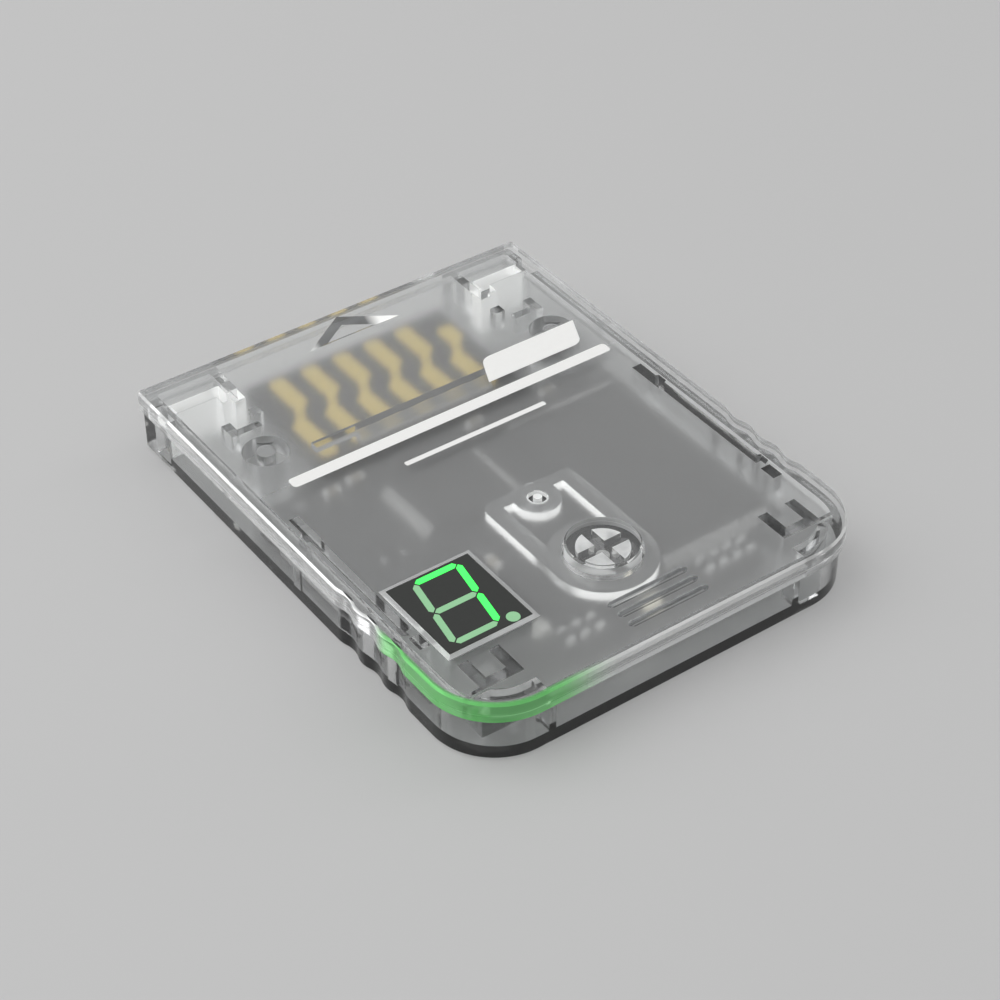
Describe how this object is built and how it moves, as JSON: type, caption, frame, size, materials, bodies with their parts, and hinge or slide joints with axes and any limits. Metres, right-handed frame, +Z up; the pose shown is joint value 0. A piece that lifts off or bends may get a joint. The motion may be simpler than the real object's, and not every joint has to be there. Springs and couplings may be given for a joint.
{
  "type": "console memory card",
  "caption": "Clear two-part memory card for a game console, with a connector tongue in its end, a one-digit display and a push button.",
  "frame": {"origin": "centre of the case's underside", "axes": "+Z up through the top face, +Y towards the connector end, +X to the right when looking along +Y"},
  "size_m": [0.042, 0.053, 0.0073],
  "materials": {
    "clear_case": "clear, polished",
    "clear_button": "clear, polished",
    "board": "satin solder mask",
    "gold": "polished gold plate",
    "display_body": "satin",
    "display_film": "matte ink",
    "segment_unlit": "diffusing resin",
    "tin": "tinned",
    "switch_case": "satin",
    "switch_plunger": "satin",
    "chip_epoxy": "moulded epoxy",
    "crystal_can": "rolled",
    "capacitor_body": "fired",
    "resistor_body": "glazed",
    "segment_lit": "lit resin",
    "led_lens": "lit resin"
  },
  "bodies": {
    "case": {"top_cover": "clear_case", "bottom_shell": "clear_case", "circuit_board": "board", "front_contacts": "gold", "rear_contacts": "gold", "display_housing": "display_body", "display_face": "display_film", "lit_segments": "segment_lit", "unlit_segments": "segment_unlit", "display_pins": "tin", "switch_body": "switch_case", "switch_terminals": "tin", "controller_chip": "chip_epoxy", "controller_pins": "tin", "memory_chip": "chip_epoxy", "memory_pins": "tin", "clock_crystal": "crystal_can", "regulator": "chip_epoxy", "regulator_pins": "tin", "capacitors": "capacitor_body", "capacitor_ends": "tin", "resistors": "resistor_body", "resistor_ends": "tin", "status_led": "led_lens"},
    "button": {"mode_button": "clear_button"},
    "plunger": {"switch_plunger": "switch_plunger"}
  },
  "joints": [
    {"name": "button_press", "type": "hinge", "parent": "case", "child": "button", "pos_m": [0, -0.0062, 0.00473], "axis": [1, 0, 0], "range_deg": [0, 1.87], "stiffness_Nm_per_rad": 0.3},
    {"name": "plunger_travel", "type": "slide", "parent": "case", "child": "plunger", "axis": [0, 0, -1], "range_m": [0, 0.0003]}
  ],
  "couplings": [
    {"joint": "plunger_travel", "follows": "button_press", "m_per_rad": 0.0092}
  ]
}
